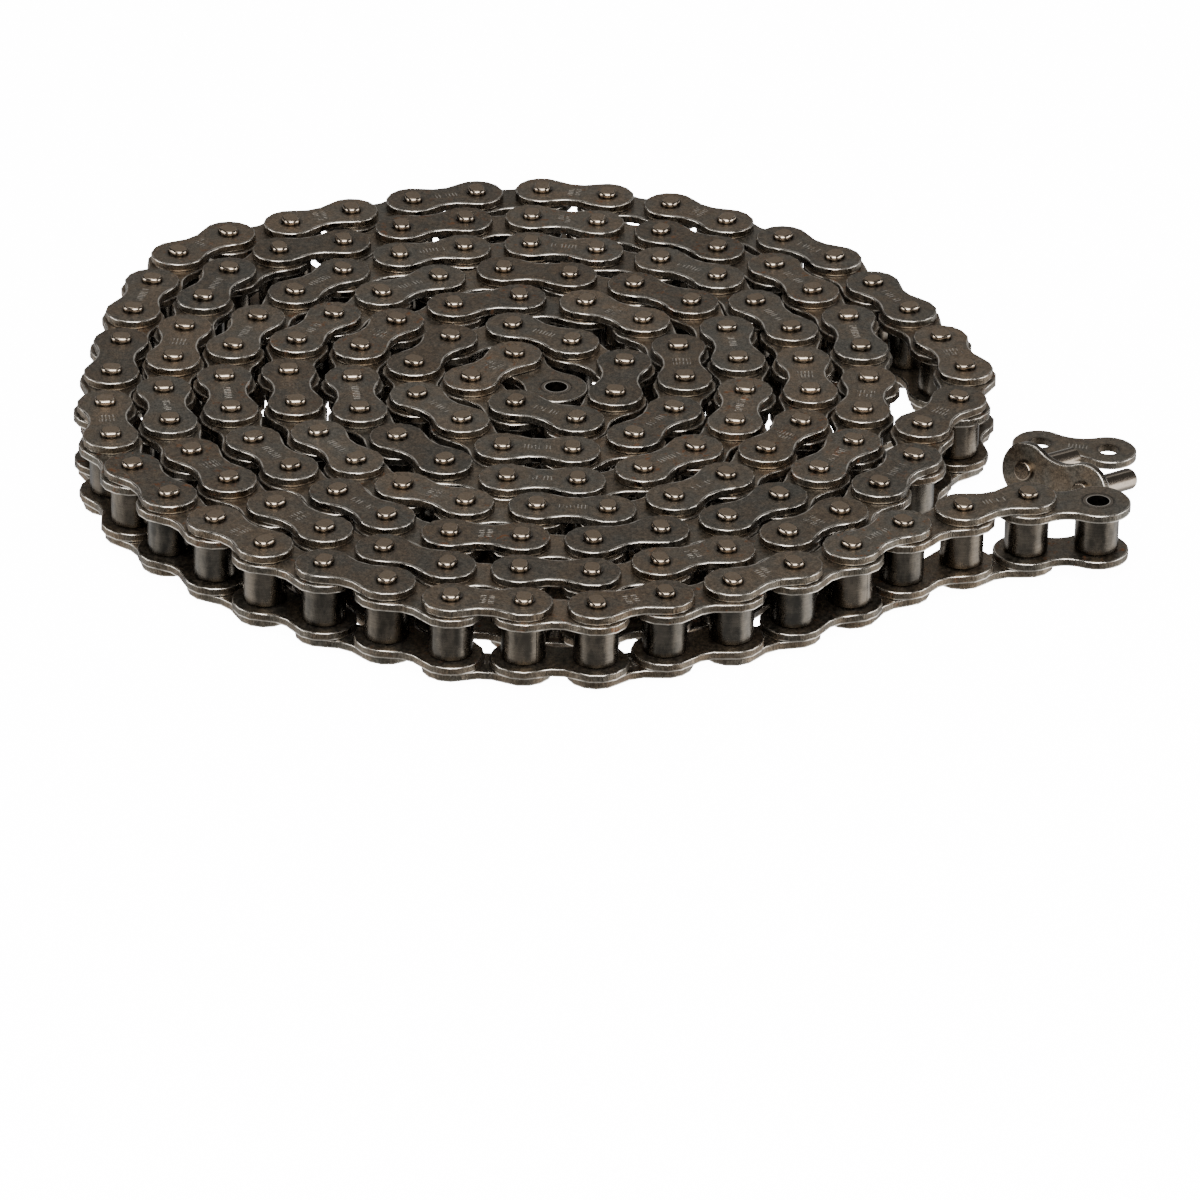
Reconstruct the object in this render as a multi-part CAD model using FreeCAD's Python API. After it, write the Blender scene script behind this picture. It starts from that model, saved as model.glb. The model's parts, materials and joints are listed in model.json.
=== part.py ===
import FreeCAD, Part
import math
import os

# A half-inch-pitch roller chain, laid down as a flat coil on its side, with its
# loose connecting link and cover plate.  Millimetres and degrees, +Z up.
# Odd links, counted from the free end, are roller links and even ones are pin links.

# Chain sizes
PITCH = 12.7
LINK_COUNT = 159                # roller links and pin links together, an odd number
ROLLER_DIAMETER = 7.92
INSIDE_WIDTH = 7.85             # between the two inner plates
PLATE_THICKNESS = 1.5
INNER_PLATE_HEIGHT = 11.8
INNER_PLATE_WAIST = 8.2
OUTER_PLATE_HEIGHT = 10.4
OUTER_PLATE_WAIST = 7.0
BUSHING_DIAMETER = 5.66
PIN_DIAMETER = 3.97
PIN_OVERHANG = 1.0              # pin beyond the outer plate, at each end
PIN_CHAMFER = 0.3
HEAD_FLATS = 3.3                # across the two flats staked on a pin's upper end
HEAD_FLAT_DEPTH = 0.8           # how far those flats reach down from the pin's end
CONNECTING_PIN_REACH = 14.2     # connecting pin beyond its own plate
CONNECTING_PIN_END = 3.6        # diameter of the end riveted into that plate, up to a shoulder

# Clearances
PIN_CLEARANCE = 0.03            # radial, pin in bushing
ROLLER_CLEARANCE = 0.06         # radial, roller on bushing
ROLLER_END_PLAY = 0.1           # roller to inner plate, each side
LINK_SIDE_PLAY = 0.15           # inner plate to outer plate, each side
PRESS_GAP = 0.01                # radial, where the real pieces are pressed together
COVER_HOLE_CLEARANCE = 0.05     # radial, cover plate's holes over the connecting pins
LAY_GAP = 0.15                  # between neighbouring turns of the coil
FLOOR_GAP = 0.02                # loose pieces above the plane that the coil rests on

# How the coil was wound, from its inner end outward: anticlockwise seen from above.
# A bend is the most that a joint turns inward; a turn already laid may stop it sooner.
FIRST_HEADING = 128.0
CORE_BENDS = (104, 82, 20, 88, 26, 60, 13, 55, 37, 37, 40, -5, 53, 35)
TIGHTEST_WRAP = 26.0            # most that a joint of the wound turns bends inward
SLACK = {98: 16.0, 120: 27.0}   # joint, counted from the inner end: degrees it stands off
LEAD_OUT_BENDS = (11, 7, 8, -11, -9, -17)

# Links that can swing clear of the coil, counted from the free end
PIECED_LINKS = 8                # each plate, roller and pair of pins in its own node
FREE_LINKS = 20                 # all the links that have a hinge of their own

# First holes of the loose pieces, in pitches from the joint centre at the free end
CONNECTING_LINK_AT = (-0.924, 2.085)
CONNECTING_LINK_HEADING = -38.0
COVER_PLATE_AT = (-0.625, 3.565)
COVER_PLATE_HEADING = -10.0

PIN_RADIUS = PIN_DIAMETER / 2
BUSHING_RADIUS = BUSHING_DIAMETER / 2
OVER_INNER_PLATES = INSIDE_WIDTH + 2 * PLATE_THICKNESS
INSIDE_OUTER_PLATES = OVER_INNER_PLATES + 2 * LINK_SIDE_PLAY
OVER_OUTER_PLATES = INSIDE_OUTER_PLATES + 2 * PLATE_THICKNESS
PIN_LENGTH = OVER_OUTER_PLATES + 2 * PIN_OVERHANG
MID_HEIGHT = PIN_LENGTH / 2
UP = FreeCAD.Vector(0, 0, 1)


def turn_spacing():
    """Least distance between joint centres of neighbouring turns: lobe beside lobe, or
    a lobe sunk into the waist between two others, for both kinds of plate."""
    needs = []
    for height, waist in ((INNER_PLATE_HEIGHT, INNER_PLATE_WAIST),
                          (OUTER_PLATE_HEIGHT, OUTER_PLATE_WAIST)):
        needs.append(height + LAY_GAP)
        needs.append(math.hypot((height + waist) / 2 + LAY_GAP, PITCH / 2))
    return max(needs)


def clear_heading(heading, last, laid, spacing):
    """The heading turned outward until one pitch along it keeps the spacing from every
    centre already laid."""
    blocked = []
    for x, y in laid:
        gap = math.hypot(x - last[0], y - last[1])
        if 0 < gap < PITCH + spacing:
            cosine = (PITCH ** 2 + gap ** 2 - spacing ** 2) / (2 * PITCH * gap)
            half = math.acos(max(-1.0, min(1.0, cosine)))
            blocked.append((math.atan2(y - last[1], x - last[0]), half))
    moved = True
    while moved:
        moved = False
        for middle, half in blocked:
            off = (heading - middle + math.pi) % (2 * math.pi) - math.pi
            if abs(off) < half - 1e-9:
                heading -= off + half
                moved = True
    return heading


def wind_coil():
    """Joint centres from the inner end outward, each exactly one pitch from the last."""
    spacing = turn_spacing()
    centres = [(0.0, 0.0)]
    heading = math.radians(FIRST_HEADING)
    wound_end = LINK_COUNT - len(LEAD_OUT_BENDS)
    for joint in range(LINK_COUNT):
        if 0 < joint <= len(CORE_BENDS):
            heading += math.radians(CORE_BENDS[joint - 1])
        elif len(CORE_BENDS) < joint < wound_end:
            heading += math.radians(TIGHTEST_WRAP)
        elif joint >= wound_end:
            heading += math.radians(LEAD_OUT_BENDS[joint - wound_end])
        heading = clear_heading(heading, centres[-1], centres[:-1], spacing)
        if joint < wound_end:
            heading -= math.radians(SLACK.get(joint + 1, 0.0))
        last = centres[-1]
        centres.append((last[0] + PITCH * math.cos(heading), last[1] + PITCH * math.sin(heading)))
    return centres


def plate(height, waist, hole_radius):
    """Waisted plate lying in XY with its first hole at the origin and its second one
    pitch along X: two lobes joined by concave arcs that are tangent to both."""
    lobe, neck, half = height / 2, waist / 2, PITCH / 2
    hollow = (half ** 2 + neck ** 2 - lobe ** 2) / (2 * (lobe - neck))
    rise = neck + hollow
    meet_x = half * hollow / (lobe + hollow)
    meet_y = rise * lobe / (lobe + hollow)
    vector = FreeCAD.Vector
    edges = [
        Part.Arc(vector(half - meet_x, -meet_y), vector(half, -neck), vector(half + meet_x, -meet_y)),
        Part.Arc(vector(half + meet_x, -meet_y), vector(PITCH + lobe, 0), vector(half + meet_x, meet_y)),
        Part.Arc(vector(half + meet_x, meet_y), vector(half, neck), vector(half - meet_x, meet_y)),
        Part.Arc(vector(half - meet_x, meet_y), vector(-lobe, 0), vector(half - meet_x, -meet_y)),
    ]
    outline = Part.Face(Part.Wire([edge.toShape() for edge in edges]))
    solid = outline.extrude(vector(0, 0, PLATE_THICKNESS))
    for x in (0, PITCH):
        solid = solid.cut(Part.makeCylinder(hole_radius, PLATE_THICKNESS, vector(x, 0, 0)))
    return solid


def tube(outer_radius, inner_radius, length):
    """Plain tube centred on the chain's middle height."""
    low = FreeCAD.Vector(0, 0, MID_HEIGHT - length / 2)
    outside = Part.makeCylinder(outer_radius, length, low)
    return outside.cut(Part.makeCylinder(inner_radius, length, low))


def staked_pin():
    """Pin standing on the origin: chamfered at both ends, with two flats staked across
    its upper end."""
    blank = Part.makeCylinder(PIN_RADIUS, PIN_LENGTH)
    rims = [edge for edge in blank.Edges if isinstance(edge.Curve, Part.Circle)]
    pin = blank.makeChamfer(PIN_CHAMFER, rims)
    for side in (1, -1):
        corner = FreeCAD.Vector(side * HEAD_FLATS / 2 - (PIN_DIAMETER if side < 0 else 0),
                                -PIN_DIAMETER, PIN_LENGTH - HEAD_FLAT_DEPTH)
        pin = pin.cut(Part.makeBox(PIN_DIAMETER, 2 * PIN_DIAMETER, HEAD_FLAT_DEPTH, corner))
    return pin


def shouldered_pin():
    """Pin of the connecting link, turned about Z: its narrow end runs down through the
    plate, which stands on the origin, and its shank rises from the shoulder above it."""
    foot, shoulder = -PIN_OVERHANG, PLATE_THICKNESS + PRESS_GAP
    tip = PLATE_THICKNESS + CONNECTING_PIN_REACH
    end_radius = CONNECTING_PIN_END / 2
    profile = [
        (0, foot), (end_radius - PIN_CHAMFER, foot), (end_radius, foot + PIN_CHAMFER),
        (end_radius, shoulder), (PIN_RADIUS, shoulder), (PIN_RADIUS, tip - PIN_CHAMFER),
        (PIN_RADIUS - PIN_CHAMFER, tip), (0, tip), (0, foot),
    ]
    outline = Part.makePolygon([FreeCAD.Vector(radius, 0, height) for radius, height in profile])
    return Part.Face(outline).revolve(FreeCAD.Vector(0, 0, 0), UP, 360)


def placed(shape, at, heading, height=0.0):
    """A copy turned to the heading about Z and moved to a joint centre."""
    copy = shape.copy()
    copy.Placement = FreeCAD.Placement(FreeCAD.Vector(at[0], at[1], height),
                                       FreeCAD.Rotation(UP, math.degrees(heading)))
    return copy


def stock_pieces():
    """One of each piece, ready to be copied along the chain."""
    return {
        "inner_plate": plate(INNER_PLATE_HEIGHT, INNER_PLATE_WAIST, BUSHING_RADIUS + PRESS_GAP),
        "outer_plate": plate(OUTER_PLATE_HEIGHT, OUTER_PLATE_WAIST, PIN_RADIUS + PRESS_GAP),
        "cover_plate": plate(OUTER_PLATE_HEIGHT, OUTER_PLATE_WAIST,
                             PIN_RADIUS + COVER_HOLE_CLEARANCE),
        "connecting_plate": plate(OUTER_PLATE_HEIGHT, OUTER_PLATE_WAIST,
                                  CONNECTING_PIN_END / 2 + PRESS_GAP),
        "bushing": tube(BUSHING_RADIUS, PIN_RADIUS + PIN_CLEARANCE, OVER_INNER_PLATES),
        "roller": tube(ROLLER_DIAMETER / 2, BUSHING_RADIUS + ROLLER_CLEARANCE,
                       INSIDE_WIDTH - 2 * ROLLER_END_PLAY),
        "pin": staked_pin(),
    }


def link_pieces(stock, number, near, far):
    """Pieces of one link by kind; near is its joint centre towards the free end."""
    heading = math.atan2(far[1] - near[1], far[0] - near[0])
    roller_link = number % 2 == 1
    kind = "inner_plate" if roller_link else "outer_plate"
    inside = INSIDE_WIDTH if roller_link else INSIDE_OUTER_PLATES
    low = MID_HEIGHT - inside / 2 - PLATE_THICKNESS
    high = MID_HEIGHT + inside / 2
    pieces = {
        "lower_plate": [placed(stock[kind], near, heading, low)],
        "upper_plate": [placed(stock[kind], near, heading, high)],
    }
    if roller_link:
        pieces["bushings"] = [placed(stock["bushing"], at, heading) for at in (near, far)]
        pieces["roller_a"] = [placed(stock["roller"], near, heading)]
        pieces["roller_b"] = [placed(stock["roller"], far, heading)]
    else:
        pieces["pins"] = [placed(stock["pin"], at, heading) for at in (near, far)]
    return pieces


def chain_nodes(stock, centres):
    """Nodes of the whole chain: every piece apart near the free end and in the last link
    of the inner end, whole links next, and the wound coil as groups of like pieces."""
    nodes = {}
    for number in range(1, LINK_COUNT + 1):
        roller_link = number % 2 == 1
        pieces = link_pieces(stock, number, centres[number - 1], centres[number])
        name = f"{'roller' if roller_link else 'pin'}_link_{number:02d}"
        for piece, solids in pieces.items():
            if number <= PIECED_LINKS or number == LINK_COUNT:
                node = f"{name}_{piece}"
            elif number <= FREE_LINKS:
                node = name
            elif piece in ("roller_a", "roller_b"):
                node = "coil_rollers"
            elif piece in ("bushings", "pins"):
                node = f"coil_{piece}"
            else:
                node = f"coil_{'inner' if roller_link else 'outer'}_{piece}s"
            nodes.setdefault(node, []).extend(solids)
    return nodes


def from_free_end(free_end, pitches):
    """A point that lies so many pitches in X and Y from the joint centre at the free end."""
    return free_end[0] + pitches[0] * PITCH, free_end[1] + pitches[1] * PITCH


def connecting_link(stock, free_end):
    """Connecting plate with its two riveted pins, standing on the plate's edge with the
    pins' tips leaned down to the same plane."""
    lean = math.atan2(OUTER_PLATE_HEIGHT / 2 - PIN_RADIUS, CONNECTING_PIN_REACH)
    rise = (OUTER_PLATE_HEIGHT / 2) * math.cos(lean) + PLATE_THICKNESS * math.sin(lean)
    pins = [shouldered_pin() for hole in (0, PITCH)]
    pins[1].translate(FreeCAD.Vector(PITCH, 0, 0))
    heading = FreeCAD.Rotation(UP, CONNECTING_LINK_HEADING)
    leaned = FreeCAD.Rotation(FreeCAD.Vector(1, 0, 0), -90 - math.degrees(lean))
    x, y = from_free_end(free_end, CONNECTING_LINK_AT)
    pose = FreeCAD.Placement(FreeCAD.Vector(x, y, rise + FLOOR_GAP), heading.multiply(leaned))
    nodes = {"connecting_plate": [stock["connecting_plate"].copy()], "connecting_pins": pins}
    for solids in nodes.values():
        for solid in solids:
            solid.Placement = pose.multiply(solid.Placement)
    return nodes


def loose_nodes(stock, free_end):
    """The connecting link and its cover plate, beside the coil's free end."""
    nodes = connecting_link(stock, free_end)
    at = from_free_end(free_end, COVER_PLATE_AT)
    heading = math.radians(COVER_PLATE_HEADING)
    nodes["cover_plate"] = [placed(stock["cover_plate"], at, heading, FLOOR_GAP)]
    return nodes


def bottom_centre(nodes):
    """Centre of the plan box of everything, at its lowest point."""
    box = FreeCAD.BoundBox()
    for solids in nodes.values():
        for solid in solids:
            box.add(solid.optimalBoundingBox(False))
    return FreeCAD.Vector((box.XMin + box.XMax) / 2, (box.YMin + box.YMax) / 2, box.ZMin)


def main():
    os.makedirs("parts", exist_ok=True)
    stock = stock_pieces()
    centres = wind_coil()[::-1]
    nodes = chain_nodes(stock, centres)
    nodes.update(loose_nodes(stock, centres[0]))
    origin = bottom_centre(nodes)
    for node, solids in nodes.items():
        group = solids[0] if len(solids) == 1 else Part.makeCompound(solids)
        group.translate(-origin)
        group.exportStep(f"parts/{node}.step")
    print(len(nodes), "nodes; joint centres from the free end:")
    for x, y in centres[:FREE_LINKS + 1]:
        print(f"{x - origin.x:.4f} {y - origin.y:.4f}")


main()
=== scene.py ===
import json
import math

import bpy
import numpy as np
from bpy.props import FloatProperty, FloatVectorProperty, PointerProperty
from mathutils import Matrix, Vector


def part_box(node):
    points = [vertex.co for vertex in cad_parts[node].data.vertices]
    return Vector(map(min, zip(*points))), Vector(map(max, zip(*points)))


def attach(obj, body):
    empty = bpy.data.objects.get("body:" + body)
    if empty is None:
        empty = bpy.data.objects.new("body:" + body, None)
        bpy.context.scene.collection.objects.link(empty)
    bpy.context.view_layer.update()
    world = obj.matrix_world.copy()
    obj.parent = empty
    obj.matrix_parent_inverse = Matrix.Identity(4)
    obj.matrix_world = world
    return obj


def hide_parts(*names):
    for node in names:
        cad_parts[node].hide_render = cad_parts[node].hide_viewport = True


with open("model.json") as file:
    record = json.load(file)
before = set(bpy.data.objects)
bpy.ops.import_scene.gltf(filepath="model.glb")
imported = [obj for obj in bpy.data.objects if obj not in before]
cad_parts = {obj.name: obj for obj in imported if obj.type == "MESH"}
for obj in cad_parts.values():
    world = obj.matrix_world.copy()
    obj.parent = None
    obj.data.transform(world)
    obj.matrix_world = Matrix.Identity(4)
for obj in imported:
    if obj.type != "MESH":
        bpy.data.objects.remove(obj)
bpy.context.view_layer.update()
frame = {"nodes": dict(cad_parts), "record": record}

bl_info = {
    "name": "Coiled Roller Chain",
    "version": (1, 0, 0),
    "blender": (4, 5, 0),
    "location": "View3D > Sidebar > Roller Chain",
    "description": "Makes the plates, pins, bushings and rollers of a coiled roller chain",
    "category": "Add Mesh",
}

MM = 0.001

# Least and greatest height of each kind of solid, in millimetres, by which they are told apart.
SOLID_HEIGHTS = {
    "plate": (1.0, 2.0),
    "roller": (7.0, 8.5),
    "bushing": (10.0, 12.0),
    "pin": (15.0, 18.0),
}
# The inner links at the chain's free end and in the middle of the coil.
END_LINKS = ("roller_link_01", "roller_link_159")
# How far a finished piece may stand outside the CAD solids that it replaces.
STRAY = 0.05 * MM

# Segments of a plate's lobe, its hollow side and its holes. Fine plates are the few loose ones
# and those of the two end links.
COIL_PLATE = (10, 3, 8)
FINE_PLATE = (24, 8, 32)
CONNECTING_PLATE = (24, 8, 24)
# Segments round the outside and round the bore.
COIL_BUSHING = (12, 8)
FINE_BUSHING = (32, 32)
ROLLER = (16, 8)
# Segments round a pin's body, round its head, and round a connecting pin.
PIN_BODY = 8
PIN_HEAD = 16
CONNECTING_PIN = 24
# How sharply a pin head's flats meet its round.
HEAD_SHARPNESS = 14

# How far the copies' numbers move the patterns that they see, in millimetres.
PATTERN_SPREAD = (400, 300, 200)
# Between which two distances each of these fades in, in millimetres: the rubbed rim from a
# plate's outline, dark oil past its pin or bushing, and its side wall, its stamped strokes and
# a roller's dark ends from the middle plane.
RUBBED_RIM = (0.42, 0.20)
OILY_SEAT = (0.55, 0.05)
SIDE_WALL = (0.60, 0.44)
STROKE_LEVEL = (0.70, 0.74)
ROLLER_END = (2.6, 3.8)
# Depth of the materials' bumps, in millimetres.
PLATE_BUMP = 0.022
FINE_BUMP = 0.012

# Place and size of each lamp in metres, and its power in watts.
LAMPS = {
    "front lamp": ((0.10, -0.95, 1.15), (1.2, 1.3), 44.0),
    "left lamp": ((-1.35, -0.20, 0.35), (0.9, 0.5), 9.0),
    "right lamp": ((1.35, -0.10, 0.35), (0.9, 0.5), 9.0),
    "top lamp": ((-0.1, 0.35, 1.5), (0.9, 0.6), 4.0),
    "back lamp": ((0.1, 1.60, 0.95), (1.8, 0.8), 2.3),
}


# ---------------------------------------------------------------- sizes and colours

def length(name, description, default):
    """A size that a user can change. The default is in millimetres."""
    return FloatProperty(name=name, description=description, default=default * MM,
                         unit="LENGTH", precision=5)


def tint(name, description, default):
    """A colour that a user can change."""
    return FloatVectorProperty(name=name, description=description, default=default,
                               subtype="COLOR", size=3, min=0.0, max=1.0)


def share(name, description, default):
    """A number from 0 to 1 that a user can change."""
    return FloatProperty(name=name, description=description, default=default,
                         subtype="FACTOR", min=0.0, max=1.0)


def strength(name, description, default):
    """A brightness that a user can change."""
    return FloatProperty(name=name, description=description, default=default, min=0.0)


def tilt(name, description, default):
    """An angle that a user can change. The default is in degrees."""
    return FloatProperty(name=name, description=description, default=math.radians(default),
                         subtype="ANGLE")


class ChainSizes(bpy.types.PropertyGroup):
    """Sizes of the chain's pieces that the frame's boxes don't tell."""
    pitch: length("Pitch", "Distance from one pin to the next", 12.7)
    inner_height: length("Inner plate height", "Across a lobe of an inner plate", 11.8)
    inner_waist: length("Inner plate waist", "Across the middle of an inner plate", 8.2)
    outer_height: length("Outer plate height", "Across a lobe of an outer plate", 10.4)
    outer_waist: length("Outer plate waist", "Across the middle of an outer plate", 7.0)
    plate_thickness: length("Plate thickness", "Thickness of every plate", 1.5)
    plate_rim: length("Plate rim", "Radius of the rounding along a plate's outline", 0.26)
    pin_diameter: length("Pin diameter", "Diameter of the pins", 3.97)
    head_flats: length("Head flats", "Across the two flats staked on a pin's head", 3.3)
    head_height: length("Head height", "Depth of the staked part of a pin's head", 0.8)
    head_bevel: length("Head bevel", "Height of the bevel round a pin's head", 0.58)
    head_inset: length("Head inset", "How far that bevel draws in", 0.46)
    riveted_diameter: length("Riveted end", "Diameter of a connecting pin's riveted end", 3.6)
    pin_chamfer: length("Pin chamfer", "Bevel at the ends of a connecting pin", 0.3)
    bushing_diameter: length("Bushing diameter", "Outside diameter of a bushing", 5.66)
    bushing_bore: length("Bushing bore", "Inside diameter of a bushing", 4.03)
    bushing_edge: length("Bushing edge", "Rounding at the ends of a bushing", 0.12)
    roller_diameter: length("Roller diameter", "Outside diameter of a roller", 7.92)
    roller_bore: length("Roller bore", "Inside diameter of a roller", 5.78)
    roller_edge: length("Roller edge", "Rounding at the ends of a roller", 0.3)
    cover_hole: length("Cover hole", "Diameter of the cover plate's two holes", 4.07)


class ChainFinish(bpy.types.PropertyGroup):
    """Colours and polish of the steel."""
    brown_steel: tint("Brown steel", "Oiled steel where it looks brown", (0.215, 0.160, 0.108))
    grey_steel: tint("Grey steel", "Oiled steel where it looks grey", (0.158, 0.146, 0.122))
    # Worn steel is also the colour of the painted highlight round a bushing's bore.
    worn_steel_and_highlight: tint("Worn steel", "Bare steel along worn rims", (0.72, 0.67, 0.60))
    rust: tint("Rust", "Thin rust in stains", (0.23, 0.085, 0.028))
    # Grime and shade: dark oil round the pin heads, painted shade on the plates' side walls and in
    # the bushings' bores, and the darkening at roller ends, below pin bevels and along roller
    # seams.
    grime_and_shade: tint("Grime", "Dark oil in corners and round the pin heads", (0.016, 0.013, 0.010))
    roller_steel: tint("Roller steel", "Polished roller", (0.086, 0.080, 0.070))
    pin_steel: tint("Pin steel", "Pin heads", (0.56, 0.47, 0.38))
    bushing_steel: tint("Bushing steel", "Ends and bores of the bushings", (0.10, 0.093, 0.083))
    plate_roughness: share("Plate roughness", "Roughness of a plate's flat faces", 0.42)
    rim_roughness: share("Rim roughness", "Roughness of a plate's worn rim", 0.20)
    roller_roughness: share("Roller roughness", "Roughness of the rollers", 0.27)


class ChainStage(bpy.types.PropertyGroup):
    """The floor, the room's light and the camera."""
    floor_colour: tint("Floor", "Colour of the floor", (0.93, 0.93, 0.93))
    floor_glow: strength("Floor glow", "How much the floor lights itself", 14.0)
    high_light: strength("High light", "Brightness of the room overhead", 0.09)
    low_light: strength("Low light", "Brightness of the room below the horizon", 0.50)
    side_light: strength("Side light", "What the right side adds to that; the left adds half", 2.3)
    camera_distance: length("Camera distance", "From the camera to the point it faces", 1392.0)
    camera_elevation: tilt("Camera elevation", "Angle above the floor", 27.38)
    camera_roll: tilt("Camera roll", "Turn about the line of sight", 0.99)
    camera_dip: tilt("Camera dip", "How far the camera then aims below that point", 1.265)
    camera_point: FloatVectorProperty(
        name="Camera point", description="Point that the camera faces before it dips",
        default=(-1.516 * MM, -19.272 * MM, 16.15 * MM), subtype="XYZ", unit="LENGTH", size=3)


# ---------------------------------------------------------------- what the frame holds

def body_of_node(node):
    """Name of the CAD body that carries a node."""
    for body, nodes in frame["record"]["behaviour"]["bodies"].items():
        if node in nodes:
            return body
    raise RuntimeError(f"no body carries the node {node}")


def corners_of(mesh):
    """The places of a mesh's vertices, one in each row."""
    points = np.empty(len(mesh.vertices) * 3, np.float32)
    mesh.vertices.foreach_get("co", points)
    return points.reshape(-1, 3)


def solids_in(node):
    """Centre, box size and long, middle and short axes of each separate solid in a CAD node.
    Corners at one place are one corner, and every corner takes the least label in its
    triangles until nothing changes. The axes are those of the second moments of the skin."""
    mesh = frame["nodes"][node].data
    points = corners_of(mesh)
    corners = np.empty(len(mesh.loops), np.int32)
    mesh.loops.foreach_get("vertex_index", corners)
    weld = np.unique(points, axis=0, return_inverse=True)[1].ravel()
    triangles = weld[corners].reshape(-1, 3)
    label = np.arange(weld.max() + 1)
    settled = False
    while not settled:
        lower = label.copy()
        np.minimum.at(lower, triangles.ravel(), np.repeat(label[triangles].min(axis=1), 3))
        lower = lower[lower]
        settled = bool((lower == label).all())
        label = lower
    solid = np.unique(label[triangles[:, 0]], return_inverse=True)[1].ravel()
    count = solid.max() + 1
    places = points[corners].reshape(-1, 3, 3).astype(float)
    low, high = np.full((count, 3), np.inf), np.full((count, 3), -np.inf)
    np.minimum.at(low, solid, places.min(axis=1))
    np.maximum.at(high, solid, places.max(axis=1))
    centre = (low + high) / 2
    sides = places[:, 1:] - places[:, :1]
    area = np.linalg.norm(np.cross(sides[:, 0], sides[:, 1]), axis=1)
    arms = places - centre[solid][:, None, :]
    total = arms.sum(axis=1)
    moment = np.einsum("tij,tik->tjk", arms, arms) + np.einsum("tj,tk->tjk", total, total)
    moments = np.zeros((count, 3, 3))
    np.add.at(moments, solid, moment * area[:, None, None])
    axes = np.linalg.eigh(moments)[1][:, :, ::-1]
    return {"centre": centre, "size": high - low, "axes": axes}


def chain_solids(kind, link):
    """For each CAD node of the chain that holds solids of this kind: its name, those solids,
    and whether it holds other kinds too. Link is inner or outer for plates, else empty."""
    low, high = SOLID_HEIGHTS[kind]
    found = []
    for node in sorted(frame["nodes"]):
        if node.startswith(("connecting_", "cover_")):
            continue
        outer = node.startswith(("pin_link", "coil_outer"))
        if kind == "plate" and (link == "outer") != outer:
            continue
        solids = SOLIDS[node]
        height = solids["size"][:, 2] / MM
        chosen = (height > low) & (height < high)
        if chosen.any():
            kept = {key: value[chosen] for key, value in solids.items()}
            found.append((node, kept, not chosen.all()))
    return found


SOLIDS = {node: solids_in(node) for node in sorted(frame["nodes"])}


# ---------------------------------------------------------------- shapes

def circle(radius, segments, at=(0.0, 0.0)):
    """Points and outward directions of a circle: at plus radius times (cos a, sin a)."""
    angle = np.linspace(0, 2 * np.pi, segments, endpoint=False)
    outward = np.column_stack((np.cos(angle), np.sin(angle)))
    return np.array(at) + radius * outward, outward


def hollow_side(pitch, height, waist):
    """Radius of the arc that hollows a plate's side, and how far from the plate's middle the
    arc's own middle is: the arc touches both lobes and passes the middle at half the waist."""
    half, lobe, neck = pitch / 2, height / 2, waist / 2
    hollow = (half ** 2 + neck ** 2 - lobe ** 2) / (2 * (lobe - neck))
    return hollow, neck + hollow


def waisted_outline(pitch, height, waist, lobe_segments, waist_segments):
    """Outline of a chain plate, anticlockwise, and its outward directions: an arc about each
    hole, and the hollow sides' arcs between them. Its second half is the first, turned by 180
    degrees."""
    half, lobe = pitch / 2, height / 2
    hollow, rise = hollow_side(pitch, height, waist)
    meet = math.atan2(rise, -half)
    turn = np.linspace(-meet, meet, lobe_segments + 1)
    lobe_out = np.column_stack((np.cos(turn), np.sin(turn)))
    lobe_points = np.array((half, 0)) + lobe * lobe_out
    sweep = np.linspace(meet - math.pi, -meet, waist_segments + 1)[1:-1]
    waist_out = -np.column_stack((np.cos(sweep), np.sin(sweep)))
    waist_points = np.array((0, rise)) - hollow * waist_out
    points, outward = np.vstack((lobe_points, waist_points)), np.vstack((lobe_out, waist_out))
    return np.vstack((points, -points)), np.vstack((outward, -outward))


def staked_outline(diameter, flats):
    """Circle with two flats across it, rounded where they meet: at the angle a the radius is
    the soft least of the circle's and of the flat's distance over the cosine of a."""
    angle = np.linspace(0, 2 * np.pi, PIN_HEAD, endpoint=False)
    round_part = (2 / diameter) ** HEAD_SHARPNESS
    flat_part = (2 * np.abs(np.cos(angle)) / flats) ** HEAD_SHARPNESS
    radius = (round_part + flat_part) ** (-1 / HEAD_SHARPNESS)
    points = radius[:, None] * np.column_stack((np.cos(angle), np.sin(angle)))
    along = np.roll(points, -1, axis=0) - np.roll(points, 1, axis=0)
    outward = np.column_stack((along[:, 1], -along[:, 0]))
    return points, outward / np.linalg.norm(outward, axis=1)[:, None]


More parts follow.
